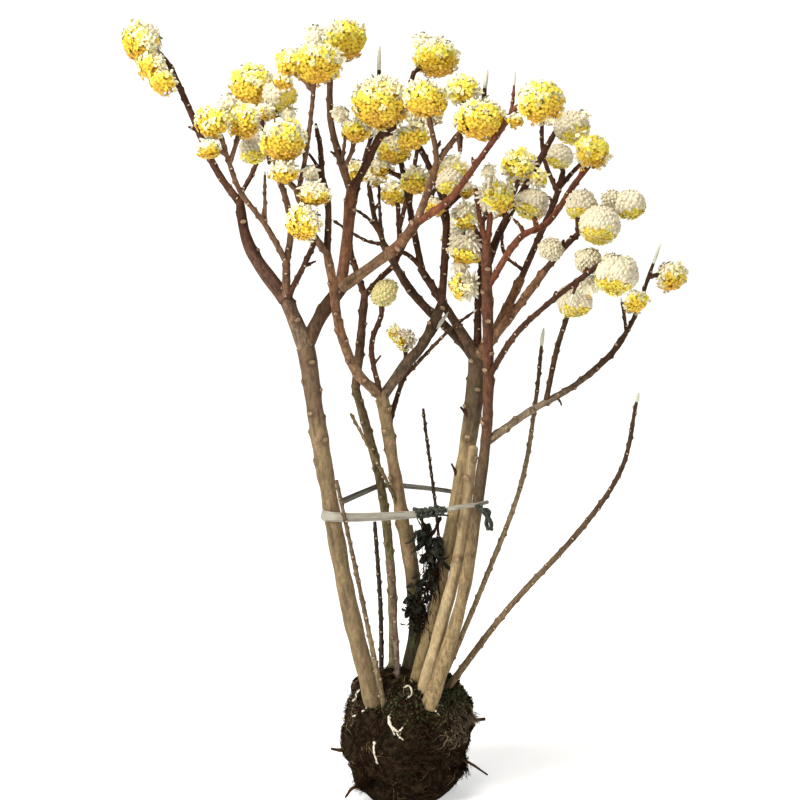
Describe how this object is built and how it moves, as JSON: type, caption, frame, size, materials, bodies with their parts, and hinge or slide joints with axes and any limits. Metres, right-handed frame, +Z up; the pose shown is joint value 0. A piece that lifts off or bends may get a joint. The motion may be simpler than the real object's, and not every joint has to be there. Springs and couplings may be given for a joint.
{
  "type": "flowering shrub on its root ball",
  "caption": "Paperbush in flower on its root ball: bare forking stems tied together, red-brown shoots and nodding round heads of yellow blossom.",
  "frame": {"origin": "middle of the root ball's flat underside", "axes": "+Z up the stems, +X to the right and -Y to the front, where the arching bare shoot leans right"},
  "size_m": [0.6698, 0.3497, 0.9403],
  "materials": {
    "bark_grey": "matte",
    "bark_tan": "matte",
    "bark_red": "satin",
    "blossom": "matte",
    "tape": "satin",
    "withered": "matte",
    "soil": "matte"
  },
  "bodies": {
    "root": {"root_ball": "soil", "stem_left": "bark_grey", "trunk_right": "bark_grey", "stem_left_slim": "bark_tan", "stem_dark_thin": "bark_tan", "stem_red_thin": "bark_tan", "stem_olive_thin": "bark_tan", "stem_back_left": "bark_tan", "stem_middle": "bark_tan", "stem_twin": "bark_tan", "stem_red": "bark_tan", "stem_slender": "bark_tan", "shoot_arching": "bark_tan", "shoot_straight": "bark_tan", "shoot_crossing": "bark_tan", "bough_left": "bark_red", "bough_inner_left": "bark_red", "limb_far_left": "bark_red", "limb_up": "bark_red", "limb_arch": "bark_red", "limb_front": "bark_red", "limb_middle": "bark_red", "limb_back_left": "bark_red", "limb_back": "bark_red", "limb_centre": "bark_red", "limb_right_back": "bark_red", "limb_right_low": "bark_red", "limb_right_bottom": "bark_red", "spray_far_left": "blossom", "spray_mid_left": "blossom", "spray_left_low": "blossom", "spray_up_left": "blossom", "spray_up_right": "blossom", "spray_arch_left": "blossom", "spray_arch_right": "blossom", "spray_front_left": "blossom", "spray_front_right": "blossom", "spray_centre": "blossom", "spray_bud_twig": "blossom", "spray_middle_side": "blossom", "spray_back_rise": "blossom", "spray_back_spread": "blossom", "spray_back": "blossom", "spray_centre_back": "blossom", "spray_upright": "blossom", "spray_red": "blossom", "spray_right_back": "blossom", "spray_right_low": "blossom", "spray_right": "blossom", "spray_right_high": "blossom", "spray_right_front": "blossom", "spray_far_right": "blossom", "spray_bottom_right": "blossom", "tie_front": "tape", "tie_right": "tape", "tie_back": "tape", "tie_knot": "tape", "tie_tag": "withered", "withered_tangle": "withered"}
  },
  "joints": []
}
